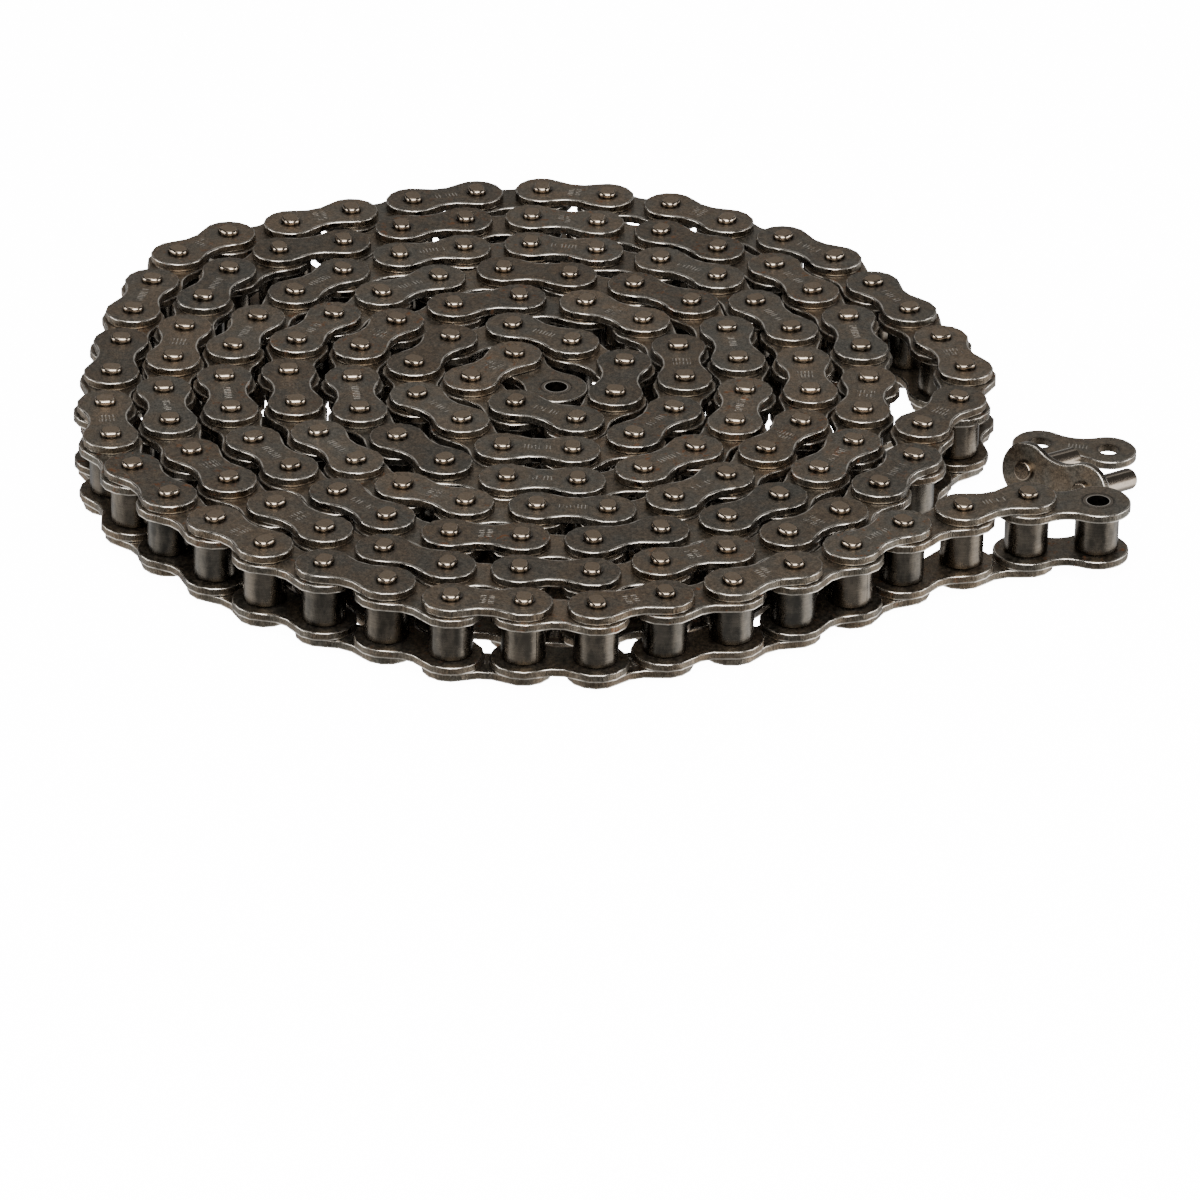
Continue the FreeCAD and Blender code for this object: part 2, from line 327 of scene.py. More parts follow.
def swept(path, profile, rounded=()):
    """Profile carried along a closed path. Point (row, step) is the path's point moved
    outwards by the profile's offset and up by its height. Faces look to the left of the
    profile's travel; a rounded band borrows the directions of the bands beside it."""
    points, outward = path
    profile = np.array(profile, float)
    rows, steps = len(profile), len(points)
    bands = rows - 1
    grid = np.empty((rows, steps, 3))
    grid[:, :, :2] = points[None] + outward[None] * profile[:, None, None, 0]
    grid[:, :, 2] = profile[:, None, 1]
    travel = profile[1:] - profile[:-1]
    facing = np.column_stack((-travel[:, 1], travel[:, 0]))
    facing /= np.linalg.norm(facing, axis=1)[:, None]
    start, end = facing.copy(), facing.copy()
    for band in rounded:
        higher = facing[band - 1] if band > 0 else np.array((0.0, 1.0))
        lower = facing[band + 1] if band < bands - 1 else np.array((0.0, -1.0))
        start[band] = higher + facing[band] * (band - 1 in rounded)
        end[band] = lower + facing[band] * (band + 1 in rounded)
    start /= np.linalg.norm(start, axis=1)[:, None]
    end /= np.linalg.norm(end, axis=1)[:, None]
    row, step = np.meshgrid(np.arange(bands), np.arange(steps), indexing="ij")
    beside = (step + 1) % steps
    here, below = row * steps, (row + 1) * steps
    corners = np.stack((here + step, below + step, below + beside, here + beside), -1)
    lean = np.stack((start[row], end[row], end[row], start[row]), -2)
    out = np.stack((outward[step], outward[step], outward[beside], outward[beside]), -2)
    normals = np.concatenate((out * lean[..., :1], lean[..., 1:]), -1)
    return {"points": grid.reshape(-1, 3), "corners": corners.ravel(),
            "counts": np.full(bands * steps, 4), "normals": normals.reshape(-1, 3)}


def joined(*shapes):
    """Several shapes as one, with their corner numbers moved on."""
    before = np.cumsum([0] + [len(shape["points"]) for shape in shapes[:-1]])
    moved_on = [shape["corners"] + first for shape, first in zip(shapes, before)]
    return {"points": np.vstack([shape["points"] for shape in shapes]),
            "corners": np.concatenate(moved_on),
            "counts": np.concatenate([shape["counts"] for shape in shapes]),
            "normals": np.vstack([shape["normals"] for shape in shapes])}


def with_face(shape, ring, up):
    """The shape with one flat face more. Its ring of corners runs anticlockwise as seen from
    above, and the face looks up where up is 1 and down where it is -1."""
    normals = np.tile((0.0, 0.0, up), (len(ring), 1))
    return {"points": shape["points"],
            "corners": np.concatenate((shape["corners"], ring[::up])),
            "counts": np.concatenate((shape["counts"], [len(ring)])),
            "normals": np.vstack((shape["normals"], normals))}


def capped(path, profile, rounded=()):
    """Swept profile closed by a flat face over its first row and one under its last."""
    shape, ring = swept(path, profile, rounded), np.arange(len(path[0]))
    last_row = (len(profile) - 1) * len(ring)
    return with_face(with_face(shape, ring, 1), last_row + ring, -1)


def tube(outer, inner, height, edge, segments, bore_segments):
    """Tube about Z: a wall with rounded edges round one circle, a bore wall whose flats touch
    another, and each ring between them as two flat faces that meet on the X axis."""
    half, bore_radius = height / 2, inner / 2 / math.cos(math.pi / bore_segments)
    profile = [(-edge, half), (0, half - edge), (0, edge - half), (-edge, -half)]
    wall = swept(circle(outer / 2, segments), profile, rounded=(0, 2))
    bore = swept(circle(bore_radius, bore_segments), [(0, -half), (0, half)])
    shape = joined(wall, bore)
    bore_low = len(wall["points"])
    bore_high = bore_low + bore_segments
    wall_low = bore_low - segments
    for wall_row, bore_row, up in ((0, bore_high, 1), (wall_low, bore_low, -1)):
        for start in (0, 1):
            turn = start * segments // 2 + np.arange(segments // 2 + 1)
            back = start * bore_segments // 2 + np.arange(bore_segments // 2 + 1)[::-1]
            ring = np.concatenate((wall_row + turn % segments, bore_row + back % bore_segments))
            shape = with_face(shape, ring, up)
    return shape


def plate_shape(sizes, outline, hole, segments):
    """Chain plate about its own middle: the side wall, rounded above, swept along the waisted
    outline, two hole walls, and two flat faces above and two below that meet on the line of
    the holes."""
    rim, half, top = sizes.plate_rim, sizes.pitch / 2, sizes.plate_thickness / 2
    lobe_segments, waist_segments, around = segments
    path = waisted_outline(*outline, lobe_segments, waist_segments)
    wall = swept(path, [(-rim, top), (0, top - rim), (0, -top)], rounded=(0,))
    first_hole, second_hole = (swept(circle(hole / 2, around, (middle, 0)), [(0, -top), (0, top)])
                               for middle in (half, -half))
    shape = joined(wall, first_hole, second_hole)
    steps = len(path[0])
    right = int(np.argmax(path[0][:, 0]))
    left = right + steps // 2
    there, back = np.arange(right, left + 1), np.arange(left, right + steps + 1) % steps
    arc = np.arange(around // 2 + 1)
    other_arc = (around - arc) % around
    holes = len(wall["points"])
    for wall_row, first, up in ((0, holes + around, 1), (holes - steps, holes, -1)):
        second = first + 2 * around
        far = np.concatenate((wall_row + there, second + arc[::-1], first + arc[::-1]))
        near = np.concatenate((wall_row + back, first + other_arc, second + other_arc))
        shape = with_face(with_face(shape, far, up), near, up)
    return shape


def pin_shape(diameter, height, flats, head_height, bevel, inset):
    """Pin about its own middle: a round body, and on it a staked head whose top draws in over
    the bevel."""
    half = height / 2
    neck = half - head_height
    body = capped(circle(diameter / 2, PIN_BODY), [(0, neck), (0, -half)])
    shoulder, foot = (-0.45 * inset, half - 0.28 * bevel), neck - head_height / 4
    profile = [(-inset, half), shoulder, (0, half - bevel), (0, foot)]
    head = capped(staked_outline(diameter, flats), profile, rounded=(0, 1))
    return joined(body, head)


def connecting_pin_shape(diameter, riveted, top, low, foot, chamfer):
    """Connecting pin about its plate's middle plane: the shank rises from low, on the plate, to
    the top, and the narrow end runs down through the plate to a domed rivet at the foot."""
    shank = capped(circle(diameter / 2, CONNECTING_PIN),
                   [(-chamfer, top), (0, top - chamfer), (0, low)])
    dome = (-0.4 * chamfer, foot + 0.35 * chamfer)
    rivet = capped(circle(riveted / 2, CONNECTING_PIN),
                   [(0, low + chamfer), (0, foot + chamfer), dome, (-chamfer, foot)],
                   rounded=(1, 2))
    return joined(shank, rivet)


def headed(headings):
    """Turns about Z that carry X to the headings."""
    cosine, sine, zero = np.cos(headings), np.sin(headings), np.zeros(len(headings))
    return np.stack((np.column_stack((cosine, sine, zero)), np.column_stack((-sine, cosine, zero)),
                     np.column_stack((zero, zero, zero + 1))), axis=2)


def lay_out(name, shape, turns, places, lots, material):
    """One mesh object with a copy of the shape for each place. Point p of a copy is its turn
    times p plus its place. The attribute spot keeps p in millimetres, and the attribute lot
    the copy's own numbers."""
    copies, size = len(places), len(shape["points"])
    points = np.einsum("kij,vj->kvi", turns, shape["points"]) + places[:, None, :]
    normals = np.einsum("kij,lj->kli", turns, shape["normals"]).reshape(-1, 3)
    corners = (shape["corners"][None] + size * np.arange(copies)[:, None]).ravel()
    counts = np.tile(shape["counts"], copies)
    mesh = bpy.data.meshes.new(name)
    mesh.vertices.add(copies * size)
    mesh.loops.add(len(corners))
    mesh.polygons.add(len(counts))
    mesh.vertices.foreach_set("co", points.astype(np.float32).ravel())
    mesh.loops.foreach_set("vertex_index", corners.astype(np.int32))
    mesh.polygons.foreach_set("loop_start", (np.cumsum(counts) - counts).astype(np.int32))
    mesh.update(calc_edges=True)
    mesh.shade_smooth()
    mesh.normals_split_custom_set(normals / np.linalg.norm(normals, axis=1)[:, None])
    spots = np.tile(shape["points"] / MM, (copies, 1))
    for key, values in (("spot", spots), ("lot", np.repeat(lots, size, axis=0))):
        attribute = mesh.attributes.new(key, "FLOAT_VECTOR", "POINT")
        attribute.data.foreach_set("vector", values.astype(np.float32).ravel())
    mesh.materials.append(material)
    piece = bpy.data.objects.new(name, mesh)
    bpy.context.scene.collection.objects.link(piece)
    return piece


def stands_for(piece, node):
    """The piece rides on the node's body and takes its place, if it lies within its box."""
    low, high = (np.array(corner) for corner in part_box(node))
    points = corners_of(piece.data)
    below, above = low - points.min(axis=0), points.max(axis=0) - high
    if max(*below, *above) > STRAY:
        raise RuntimeError(f"{piece.name} reaches out of {node}: {below} below, {above} above")
    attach(piece, body_of_node(node))
    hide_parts(node)


# ---------------------------------------------------------------- finishes

class Wire:
    """A socket of a material's nodes. Arithmetic on wires adds Math nodes."""

    def __init__(self, tree, socket):
        self.tree, self.socket = tree, socket

    def node(self, kind, settings, inputs, output=0):
        """A new node: its settings first, then its sockets. Gives one of its outputs."""
        made = self.tree.nodes.new(kind)
        for key, value in settings.items():
            setattr(made, key, value)
        for key, value in inputs.items():
            if isinstance(value, Wire):
                self.tree.links.new(value.socket, made.inputs[key])
            else:
                made.inputs[key].default_value = value
        return Wire(self.tree, None if output is None else made.outputs[output])

    def maths(self, operation, *values):
        """The result of a Math node on these values."""
        return self.node("ShaderNodeMath", {"operation": operation}, dict(enumerate(values)))

    def __add__(self, other):
        return self.maths("ADD", self, other)

    __radd__ = __add__

    def __sub__(self, other):
        return self.maths("SUBTRACT", self, other)

    def __rsub__(self, other):
        return self.maths("SUBTRACT", other, self)

    def __mul__(self, other):
        return self.maths("MULTIPLY", self, other)

    __rmul__ = __mul__

    def __truediv__(self, other):
        return self.maths("DIVIDE", self, other)

    def __rtruediv__(self, other):
        return self.maths("DIVIDE", other, self)

    def __abs__(self):
        return self.maths("ABSOLUTE", self)

    def hypot(self, other):
        """Square root of this squared plus the other squared."""
        return self.maths("SQRT", self * self + other * other)

    def step(self, low, high):
        """Smooth step: 0 below low, 1 above high, or the other way if low is the larger."""
        sockets = {"Value": self, "From Min": min(low, high), "From Max": max(low, high),
                   "To Min": float(low > high), "To Max": float(low < high)}
        return self.node("ShaderNodeMapRange", {"interpolation_type": "SMOOTHSTEP"}, sockets)

    def parts(self):
        """The three numbers of a vector."""
        made = self.tree.nodes.new("ShaderNodeSeparateXYZ")
        self.tree.links.new(self.socket, made.inputs[0])
        return [Wire(self.tree, output) for output in made.outputs]

    def stretched(self, x, y, z):
        """The vector with each of its numbers multiplied."""
        return self.node("ShaderNodeVectorMath", {"operation": "MULTIPLY"},
                         {0: self, 1: (x, y, z)})

    def moved(self, other):
        """The vector plus another."""
        return self.node("ShaderNodeVectorMath", {"operation": "ADD"}, {0: self, 1: other})

    def noise(self, scale, detail=2.0, roughness=0.5, distortion=0.0):
        """Noise from 0 to 1 at this vector, with so many waves in a millimetre."""
        sockets = {"Vector": self, "Scale": scale, "Detail": detail, "Roughness": roughness,
                   "Distortion": distortion}
        return self.node("ShaderNodeTexNoise", {}, sockets)

    def colour(self, low, high):
        """The colour this much of the way from one colour to another."""
        low, high = (value if isinstance(value, Wire) else (*value, 1.0) for value in (low, high))
        sockets = {"Factor": self, 6: low, 7: high}
        return self.node("ShaderNodeMix", {"data_type": "RGBA"}, sockets, 2)

    def shaded(self, amount):
        """A colour multiplied by a number."""
        return self.node("ShaderNodeVectorMath", {"operation": "SCALE"}, {0: self, "Scale": amount})


class Finish:
    """A material in the making, with the vectors that its patterns follow, in millimetres."""

    def __init__(self, name):
        self.material = bpy.data.materials.new(name)
        self.material.use_nodes = True
        tree = self.material.node_tree
        tree.nodes.clear()
        self.start = Wire(tree, None)
        self.spot = self.attribute("spot")
        self.lot = self.attribute("lot")
        # each copy sees its own stretch of a pattern
        self.own = self.spot.moved(self.lot.stretched(*PATTERN_SPREAD))

    def attribute(self, name):
        """An attribute of the mesh, as a vector."""
        return self.start.node("ShaderNodeAttribute", {"attribute_name": name}, {}, "Vector")

    def steel(self, colour, roughness, height, depth):
        """Ends the material: steel of this colour and roughness, with a bump this many
        millimetres deep."""
        sockets = {"Height": height, "Distance": depth * MM, "Strength": 1.0}
        normal = self.start.node("ShaderNodeBump", {}, sockets)
        sockets = {"Base Color": colour, "Metallic": 1.0, "Roughness": roughness, "Normal": normal}
        shader = self.start.node("ShaderNodeBsdfPrincipled", {}, sockets)
        self.start.node("ShaderNodeOutputMaterial", {}, {"Surface": shader}, None)
        return self.material


def plate_finish(name, looks, outline, seat, marked):
    """Oiled plate steel. Rim is the distance to the outline: from the lobe's arc, or from the
    hollow side's where the spot lies under the line between the two arcs' middles. Seat is
    the diameter of the pin or bushing in the plate's holes."""
    finish = Finish(name)
    x, y, z = finish.spot.parts()
    tone, hue, stain = finish.lot.parts()
    pitch, height, waist = (size / MM for size in outline)
    half, lobe, seated = pitch / 2, height / 2, seat / MM / 2
    hollow, rise = hollow_side(pitch, height, waist)
    along, across = abs(x), abs(y)
    from_hole = (along - half).hypot(across)
    from_hollow = along.hypot(rise - across)
    under = finish.start.maths("LESS_THAN", along / half + across / rise, 1.0)
    in_lobe = lobe - from_hole
    rim = in_lobe + under * ((from_hollow - hollow) - in_lobe)
    side = abs(z).step(*SIDE_WALL)

    # patterns
    cloudy = finish.own.noise(0.22, 3.0, 0.55).step(0.34, 0.66)
    mottle = finish.own.noise(1.3, 5.0, 0.68).step(0.30, 0.70)
    grain = finish.own.noise(3.4, 4.0, 0.65).step(0.32, 0.68)
    drawn = finish.own.stretched(0.5, 6.0, 1.0).noise(1.0, 3.0, 0.6, 0.4).step(0.35, 0.70)
    shear = finish.own.stretched(5.0, 5.0, 0.35).noise(1.0, 2.0, 0.6).step(0.32, 0.68)
    wet = finish.own.noise(0.40).step(0.52, 0.62)
    beads = finish.own.noise(1.7)

    # where the plate is rubbed, dark with old oil, and rusty
    rubbed = rim.step(*RUBBED_RIM) * (1 - side) * (0.55 + 0.45 * mottle)
    sooty = (from_hole - seated).step(*OILY_SEAT)
    rusty = finish.own.noise(0.5, 4.0, 0.7).step(0.56, 0.70) * stain.step(0.35, 0.95)

    steel = (cloudy * 0.6 + hue * 0.4).colour(looks.grey_steel, looks.brown_steel)
    shade = 0.36 + tone * 0.34 + mottle * 0.52 + drawn * 0.12
    steel = steel.shaded(shade * (0.64 + grain * 0.62))
    steel = (rusty * (0.50 + 0.4 * mottle)).colour(steel, looks.rust)
    steel = (sooty * 0.55).colour(steel, looks.grime_and_shade)
    # Side walls: sheared streaks of their own, darkened all over with painted shade.
    steel = (side * (0.12 + 0.36 * shear)).colour(steel, looks.grime_and_shade)
    steel = (rubbed * 0.75).colour(steel, looks.worn_steel_and_highlight)
    bumps = (mottle * 0.5 + grain * 0.4) * (1 - rubbed * 0.7)
    bumps = bumps + side * (shear * 0.9 + wet * beads * 2.6)
    if marked:
        marks = stamped_ticks(finish, x, y, tone, hue) * z.step(*STROKE_LEVEL)
        steel = (marks * 0.55).colour(steel, looks.worn_steel_and_highlight)
        bumps = bumps - marks * 2.5
    rough = looks.plate_roughness + (mottle - 0.5) * 0.14 + side * 0.04
    rough = rough - sooty * 0.10 + rusty * 0.16 - side * wet * 0.26
    rough = rough - rubbed * (looks.plate_roughness - looks.rim_roughness)
    return finish.steel(steel, rough, bumps, PLATE_BUMP)


def stamped_ticks(finish, x, y, tone, hue):
    """Rows of short stamped strokes in the middle of a plate that spell nothing: strokes of a
    random lean at even steps, in one row along the plate on some and in two across it on
    others."""
    across = hue.step(0.60, 0.601)
    run = x + across * (y - x)
    over = y + across * (x - y)
    stroke_step, stroke_half, row_place = 0.66, 0.09, 0.72
    stroke_end, row_end = (0.74, 0.62), (2.5, 2.35)
    cell = finish.start.maths("FLOOR", run / stroke_step)
    row = finish.start.maths("GREATER_THAN", over, 0.0) * across
    # uneven factors, so that each stroke, row and plate draws its own number
    drawn_from = cell * 7.31 + row * 3.17 + tone * 91.0
    chance = finish.start.node("ShaderNodeTexWhiteNoise", {"noise_dimensions": "1D"},
                               {"W": drawn_from})
    shifted = finish.start.maths("FRACT", run / stroke_step) - 0.5 + over * (chance - 0.5) * 0.35
    stroke = abs(shifted).step(stroke_half / stroke_step + 0.10, stroke_half / stroke_step)
    line = (abs(abs(over) - across * row_place) * (1 + across * 0.35)).step(*stroke_end)
    reach = (abs(run) * (1 + across * 0.5)).step(*row_end)
    worn = finish.own.noise(1.1, 2.0).step(0.32, 0.50)
    return stroke * line * reach * worn * chance.step(0.18, 0.22) * tone.step(0.16, 0.20)


def pin_finish(name, looks, top, bevel):
    """Pin steel: a dull, scored top, a bright, smooth bevel this deep, and nearly black below it.
    Top is the height of the pin's end over its shape's origin."""
    finish = Finish(name)
    z = finish.spot.parts()[2]
    tone, hue = finish.lot.parts()[:2]
    end = z.step(top / MM - 0.08, top / MM - 0.01)
    scored = finish.own.stretched(1.2, 7.0, 1.0).noise(1.0, 3.0, 0.6, 0.5).step(0.32, 0.68)
    mottle = finish.own.noise(2.2, 3.0, 0.6).step(0.30, 0.70)
    foot = z.step((top - bevel) / MM + 0.05, (top - bevel) / MM - 0.25)
    steel = (mottle * 0.35 + hue * 0.35).colour(looks.pin_steel, looks.brown_steel)
    steel = steel.shaded(0.70 + tone * 0.30)
    steel = (end * (0.80 + 0.20 * mottle)).colour(steel, looks.brown_steel)
    # Nearly black below the bevel.
    steel = (foot * 0.9).colour(steel, looks.grime_and_shade)
    rough = 0.18 + end * (0.18 + mottle * 0.10)
    return finish.steel(steel, rough, end * (scored * 0.6 + mottle * 0.6), FINE_BUMP)


def roller_finish(name, looks):
    """Roller steel: polished, with marks of rolling round it, darker towards its ends and, on some
    rollers, the seam where the strip was curled."""
    finish = Finish(name)
    x, y, z = finish.spot.parts()
    tone, hue, stain = finish.lot.parts()
    rings = finish.own.stretched(0.25, 0.25, 5.0).noise(1.0, 3.0, 0.6).step(0.34, 0.66)
    cloudy = finish.own.stretched(1.0, 1.0, 0.5).noise(0.55, 3.0, 0.6).step(0.32, 0.68)
    mottle = finish.own.noise(2.4, 3.0, 0.65).step(0.30, 0.70)
    end = abs(z).step(*ROLLER_END)
    seam = abs(y).step(0.09, 0.04) * x.step(0.0, 0.1) * stain.step(0.55, 0.56)
    steel = (hue * 0.20 + cloudy * 0.12).colour(looks.roller_steel, looks.brown_steel)
    steel = steel.shaded((0.45 + tone * 0.40 + cloudy * 0.45) * (0.88 + rings * 0.24))
    # Darker towards both ends.
    steel = (end * (0.35 + 0.25 * cloudy)).colour(steel, looks.grime_and_shade)
    steel = (seam * 0.85).colour(steel, looks.grime_and_shade)
    rough = looks.roller_roughness + (mottle - 0.5) * 0.10 + (cloudy - 0.5) * 0.12
    return finish.steel(steel, rough, rings * 0.35 + mottle * 0.35 - seam, FINE_BUMP)


def bushing_finish(name, looks, bore):
    """Bushing steel: painted shade in the bore, and a painted highlight in worn steel's colour
    round its mouth.
    """
    finish = Finish(name)
    x, y = finish.spot.parts()[:2]
    hue = finish.lot.parts()[1]
    past_bore = x.hypot(y) - bore / MM / 2
    bore_edge, lip_highlight_edge = (0.08, 0.02), (0.24, 0.10)
    inside = past_bore.step(*bore_edge)
    mottle = finish.own.noise(2.0, 3.0, 0.6).step(0.30, 0.70)
    rings = finish.own.stretched(0.3, 0.3, 4.0).noise(1.0, 3.0, 0.6).step(0.34, 0.66)
    steel = hue.colour(looks.bushing_steel, looks.brown_steel).shaded(0.7 + 0.5 * mottle)
    # A painted highlight round the bore's mouth, in worn steel's colour.
    painted_lip_highlight = past_bore.step(*lip_highlight_edge) * (1 - inside)
    steel = (painted_lip_highlight * 0.8).colour(steel, looks.worn_steel_and_highlight)
    # Painted shade in the bore.
    steel = (inside * 0.55).colour(steel, looks.grime_and_shade)
    return finish.steel(steel, 0.24 + mottle * 0.12, rings * 0.5 + mottle * 0.5, FINE_BUMP)


def floor_finish(stage):
    """Plain pale floor that glows, so that it looks white wherever it is seen."""
    material = bpy.data.materials.new("floor")
    material.use_nodes = True
    shader = material.node_tree.nodes["Principled BSDF"]
    shader.inputs["Base Color"].default_value = (*stage.floor_colour, 1.0)
    shader.inputs["Roughness"].default_value = 0.9
    shader.inputs["Specular IOR Level"].default_value = 0.0
    shader.inputs["Emission Color"].default_value = (1.0, 1.0, 1.0, 1.0)
    shader.inputs["Emission Strength"].default_value = stage.floor_glow
    return material


# ---------------------------------------------------------------- operators

def choices(context):
    """The sizes and the finish that the user chose."""
    return context.scene.chain_sizes, context.scene.chain_finish


def height_of(node):
    """Height of a node's box."""
    low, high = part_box(node)
    return high.z - low.z


class ChainOperator:
    """What the chain's operators share."""
    bl_options = {"REGISTER", "UNDO"}

    def lots(self, count):
        """Three numbers from 0 to 1 for each copy, the same in every run."""
        if not hasattr(self, "draws"):
            self.draws = np.random.default_rng(sum(map(ord, self.bl_idname)))
        return self.draws.random((count, 3))

    def cover(self, kind, link, shape, material, slot, turns_of, end_shape=None):
        """Replaces the solids of one kind in every chain node by copies of the shape, or of the
        end shape, if there is one, in the links at the chain's two ends."""
        for node, solids, shared in chain_solids(kind, link):
            name = f"steel_{node}_{kind}s" if shared else f"steel_{node}"
            lots = self.lots(len(solids["centre"]))
            chosen = end_shape if end_shape and node.startswith(END_LINKS) else shape
            piece = lay_out(name, chosen, turns_of(solids, lots), solids["centre"], lots, material)
            stands_for(piece, node)


def plate_turns(solids, lots):
    """Turns of plates: X along the plate."""
    return headed(np.arctan2(solids["axes"][:, 1, 0], solids["axes"][:, 0, 0]))


def pin_turns(solids, lots):
    """Turns of pins: X along the outer plate whose lobe each pin goes through."""
    plates = [found for _, found, _ in chain_solids("plate", "outer")]
    centres = np.vstack([found["centre"] for found in plates])[:, :2]
    long = np.vstack([found["axes"][:, :2, 0] for found in plates])
    reach = bpy.context.scene.chain_sizes.pitch / 2
    lobes = np.vstack((centres + reach * long, centres - reach * long))
    gaps = np.linalg.norm(solids["centre"][:, None, :2] - lobes[None], axis=2)
    nearest = np.vstack((long, long))[gaps.argmin(axis=1)]
    return headed(np.arctan2(nearest[:, 1], nearest[:, 0]))


def round_turns(solids, lots):
    """Turns of rollers and bushings: any heading, from the copy's own numbers."""
    return headed(2 * np.pi * lots[:, 0])


def outer_outline(sizes):
    """Pitch, height and waist of the outer plates, the connecting plate and the cover plate."""
    return sizes.pitch, sizes.outer_height, sizes.outer_waist


class CHAIN_OT_inner_plates(ChainOperator, bpy.types.Operator):
    """Make the inner plates of the roller links"""
    bl_idname = "chain.inner_plates"
    bl_label = "Inner plates"

    def execute(self, context):
        sizes, looks = choices(context)
        outline = sizes.pitch, sizes.inner_height, sizes.inner_waist
        seat = sizes.bushing_diameter
        coil, fine = (plate_shape(sizes, outline, seat, segments)
                      for segments in (COIL_PLATE, FINE_PLATE))
        material = plate_finish("inner plate steel", looks, outline, seat, False)
        self.cover("plate", "inner", coil, material, "inner_plate", plate_turns, fine)
        return {"FINISHED"}


class CHAIN_OT_outer_plates(ChainOperator, bpy.types.Operator):
    """Make the outer plates of the pin links"""
    bl_idname = "chain.outer_plates"
    bl_label = "Outer plates"

    def execute(self, context):
        sizes, looks = choices(context)
        outline = outer_outline(sizes)
        shape = plate_shape(sizes, outline, sizes.pin_diameter, COIL_PLATE)
        material = plate_finish("outer plate steel", looks, outline, sizes.pin_diameter, True)
        self.cover("plate", "outer", shape, material, "outer_plate", plate_turns)
        return {"FINISHED"}


class CHAIN_OT_pins(ChainOperator, bpy.types.Operator):
    """Make the pins with their staked heads"""
    bl_idname = "chain.pins"
    bl_label = "Pins"

    def execute(self, context):
        sizes, looks = choices(context)
        height = height_of("coil_pins")
        shape = pin_shape(sizes.pin_diameter, height, sizes.head_flats, sizes.head_height,
                          sizes.head_bevel, sizes.head_inset)
        material = pin_finish("pin steel", looks, height / 2, sizes.head_bevel)
        self.cover("pin", "", shape, material, "pin", pin_turns)
        return {"FINISHED"}


class CHAIN_OT_bushings(ChainOperator, bpy.types.Operator):
    """Make the bushings pressed into the inner plates"""
    bl_idname = "chain.bushings"
    bl_label = "Bushings"

    def execute(self, context):
        sizes, looks = choices(context)
        coil, fine = (tube(sizes.bushing_diameter, sizes.bushing_bore,
                           height_of("coil_bushings"), sizes.bushing_edge, *segments)
                      for segments in (COIL_BUSHING, FINE_BUSHING))
        material = bushing_finish("bushing steel", looks, sizes.bushing_bore)
        self.cover("bushing", "", coil, material, "bushing", round_turns, fine)
        return {"FINISHED"}


class CHAIN_OT_rollers(ChainOperator, bpy.types.Operator):
    """Make the rollers that turn on the bushings"""
    bl_idname = "chain.rollers"
    bl_label = "Rollers"

    def execute(self, context):
        sizes, looks = choices(context)
        shape = tube(sizes.roller_diameter, sizes.roller_bore, height_of("coil_rollers"),
                     sizes.roller_edge, *ROLLER)
        material = roller_finish("roller steel", looks)
        self.cover("roller", "", shape, material, "roller", round_turns)
        return {"FINISHED"}


class CHAIN_OT_connecting_link(ChainOperator, bpy.types.Operator):
    """Make the loose connecting link: its plate and its two riveted pins"""
    bl_idname = "chain.connecting_link"
    bl_label = "Connecting link"

    def execute(self, context):
        sizes, looks = choices(context)
        outline, end = outer_outline(sizes), sizes.riveted_diameter
        plate, pins = SOLIDS["connecting_plate"], SOLIDS["connecting_pins"]
        middle = plate["centre"][0]
        long, facing = plate["axes"][0][:, 0], plate["axes"][0][:, 2]
        facing = facing * np.sign(np.dot(pins["centre"].mean(axis=0) - middle, facing))
        turn = np.column_stack((long, np.cross(facing, long), facing))
        over = np.column_stack((long, -turn[:, 1], -facing))
        lots = self.lots(3)
        shape = plate_shape(sizes, outline, end, CONNECTING_PLATE)
        material = plate_finish("connecting plate steel", looks, outline, end, False)
        piece = lay_out("steel_connecting_plate", shape, over[None], middle[None], lots[:1],
                        material)
        stands_for(piece, "connecting_plate")
        low, high = self.reach_of_pins(middle, facing)
        shape = connecting_pin_shape(sizes.pin_diameter, end, high, sizes.plate_thickness / 2,
                                     low, sizes.pin_chamfer)
        places = middle + np.array((0.5, -0.5))[:, None] * sizes.pitch * long
        # a bevel as deep as the pin, so that none of it is darkened
        material = pin_finish("connecting pin steel", looks, high, high - low)
        piece = lay_out("steel_connecting_pins", shape, np.stack((turn, turn)), places, lots[1:],
                        material)
        stands_for(piece, "connecting_pins")
        return {"FINISHED"}

    def reach_of_pins(self, middle, facing):
        """How far the CAD pins reach from the plate's middle plane, behind it and before it."""
        depth = (corners_of(frame["nodes"]["connecting_pins"].data) - middle) @ facing
        return float(depth.min()), float(depth.max())


class CHAIN_OT_cover_plate(ChainOperator, bpy.types.Operator):
    """Make the loose cover plate of the connecting link"""
    bl_idname = "chain.cover_plate"
    bl_label = "Cover plate"

    def execute(self, context):
        sizes, looks = choices(context)
        outline = outer_outline(sizes)
        solids, lots = SOLIDS["cover_plate"], self.lots(1)
        shape = plate_shape(sizes, outline, sizes.cover_hole, FINE_PLATE)
        material = plate_finish("cover plate steel", looks, outline, sizes.cover_hole, True)
        piece = lay_out("steel_cover_plate", shape, plate_turns(solids, lots),
                        solids["centre"], lots, material)
        stands_for(piece, "cover_plate")
        return {"FINISHED"}


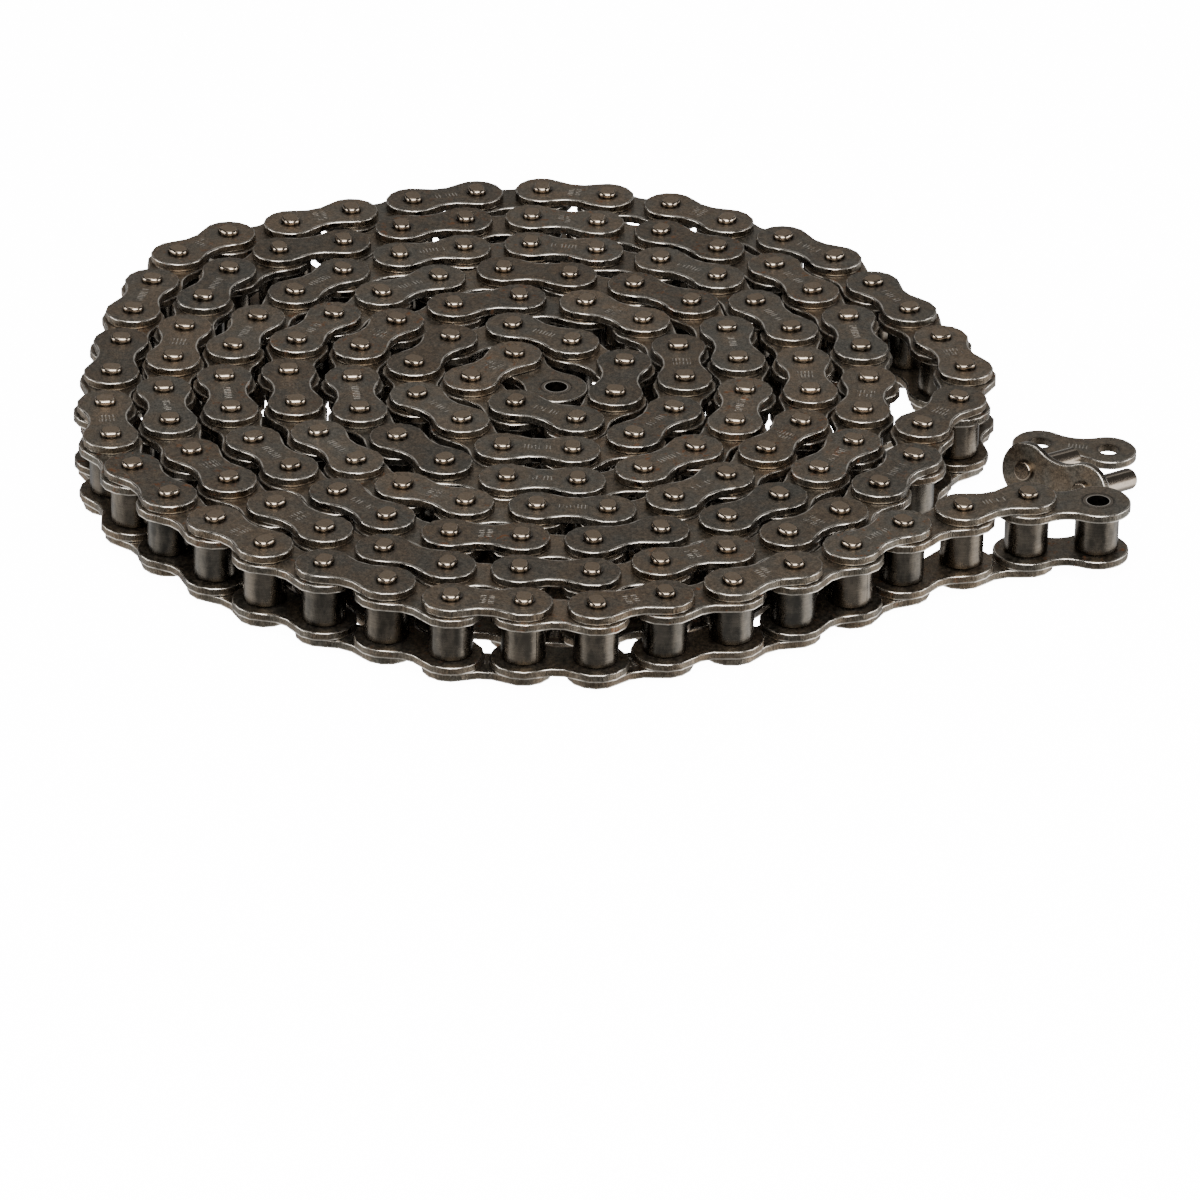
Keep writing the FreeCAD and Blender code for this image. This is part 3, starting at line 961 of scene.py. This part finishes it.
class CHAIN_OT_stage(bpy.types.Operator):
    """Make the floor, the lamps and the camera"""
    bl_idname = "chain.stage"
    bl_label = "Stage"

    def execute(self, context):
        stage = context.scene.chain_stage
        self.floor(context, stage)
        for name, (place, size, power) in LAMPS.items():
            self.lamp(context, name, place, size, power)
        self.room(context, stage)
        self.camera(context, stage)
        return {"FINISHED"}

    def room(self, context, stage):
        """A soft glow, brighter low down, and more so far out to the right and to the left."""
        world = bpy.data.worlds.new("room")
        world.use_nodes = True
        start = Wire(world.node_tree, None)
        x, _, z = start.node("ShaderNodeTexCoord", {}, {}, "Generated").parts()
        sides = (x.step(0.55, 0.85) + 0.5 * x.step(-0.55, -0.85)) * stage.side_light
        low = z.step(0.05, -0.15)
        glow = stage.high_light + low * (stage.low_light - stage.high_light + sides)
        background = world.node_tree.nodes["Background"]
        background.inputs["Color"].default_value = (1.0, 1.0, 1.0, 1.0)
        world.node_tree.links.new(glow.socket, background.inputs["Strength"])
        context.scene.world = world

    def floor(self, context, stage):
        """A flat square just under the chain, which the steel doesn't mirror and the room's
        glow comes through."""
        half, down = 4.0, 0.15 * MM
        corners = [(-half, -half, -down), (half, -half, -down),
                   (half, half, -down), (-half, half, -down)]
        mesh = bpy.data.meshes.new("floor")
        mesh.from_pydata(corners, [], [(0, 1, 2, 3)])
        mesh.materials.append(floor_finish(stage))
        floor = bpy.data.objects.new("floor", mesh)
        floor.visible_glossy = floor.visible_shadow = False
        context.scene.collection.objects.link(floor)

    def lamp(self, context, name, place, size, power):
        """A soft rectangular lamp that faces the coil."""
        light = bpy.data.lights.new(name, "AREA")
        light.shape, light.energy = "RECTANGLE", power
        light.size, light.size_y = size
        lamp = bpy.data.objects.new(name, light)
        lamp.location = place
        lamp.rotation_euler = (-Vector(place)).to_track_quat("-Z", "Y").to_euler()
        context.scene.collection.objects.link(lamp)

    def camera(self, context, stage):
        """The camera stands back from its point along the line of sight, then dips."""
        lift, roll, dip = stage.camera_elevation, stage.camera_roll, stage.camera_dip
        ahead = Vector((0, math.cos(lift), -math.sin(lift)))
        up = Vector((0, math.sin(lift), math.cos(lift)))
        right = Vector((1, 0, 0))
        right, up = (math.cos(roll) * right + math.sin(roll) * up,
                     math.cos(roll) * up - math.sin(roll) * right)
        place = Vector(stage.camera_point) - stage.camera_distance * ahead
        ahead, up = (math.cos(dip) * ahead - math.sin(dip) * up,
                     math.cos(dip) * up + math.sin(dip) * ahead)
        # a long lens on a full-frame sensor
        data = bpy.data.cameras.new("camera")
        data.lens, data.sensor_width, data.clip_end = 231.0, 36.0, 20.0
        camera = bpy.data.objects.new("camera", data)
        camera.matrix_world = Matrix((right, up, -ahead)).transposed().to_4x4()
        camera.location = place
        context.scene.collection.objects.link(camera)
        context.scene.camera = camera


OPERATORS = (
    CHAIN_OT_inner_plates,
    CHAIN_OT_outer_plates,
    CHAIN_OT_pins,
    CHAIN_OT_bushings,
    CHAIN_OT_rollers,
    CHAIN_OT_connecting_link,
    CHAIN_OT_cover_plate,
    CHAIN_OT_stage,
)


class CHAIN_PT_panel(bpy.types.Panel):
    """Lists what makes the chain"""
    bl_idname = "CHAIN_PT_panel"
    bl_label = "Roller Chain"
    bl_space_type = "VIEW_3D"
    bl_region_type = "UI"
    bl_category = "Roller Chain"

    def draw(self, context):
        for operator in OPERATORS:
            self.layout.operator(operator.bl_idname)
        for key, group in GROUPS:
            box = self.layout.box()
            for name in group.__annotations__:
                box.prop(getattr(context.scene, key), name)


GROUPS = (("chain_sizes", ChainSizes), ("chain_finish", ChainFinish), ("chain_stage", ChainStage))


def register():
    for name, group in GROUPS:
        bpy.utils.register_class(group)
        setattr(bpy.types.Scene, name, PointerProperty(type=group))
    for each in (*OPERATORS, CHAIN_PT_panel):
        bpy.utils.register_class(each)


def unregister():
    for each in reversed((*OPERATORS, CHAIN_PT_panel)):
        bpy.utils.unregister_class(each)
    for name, group in reversed(GROUPS):
        delattr(bpy.types.Scene, name)
        bpy.utils.unregister_class(group)


def main():
    """Builds everything."""
    register()
    bpy.ops.chain.inner_plates()
    bpy.ops.chain.outer_plates()
    bpy.ops.chain.pins()
    bpy.ops.chain.bushings()
    bpy.ops.chain.rollers()
    bpy.ops.chain.connecting_link()
    bpy.ops.chain.cover_plate()
    bpy.ops.chain.stage()


if __name__ == "__main__":
    main()
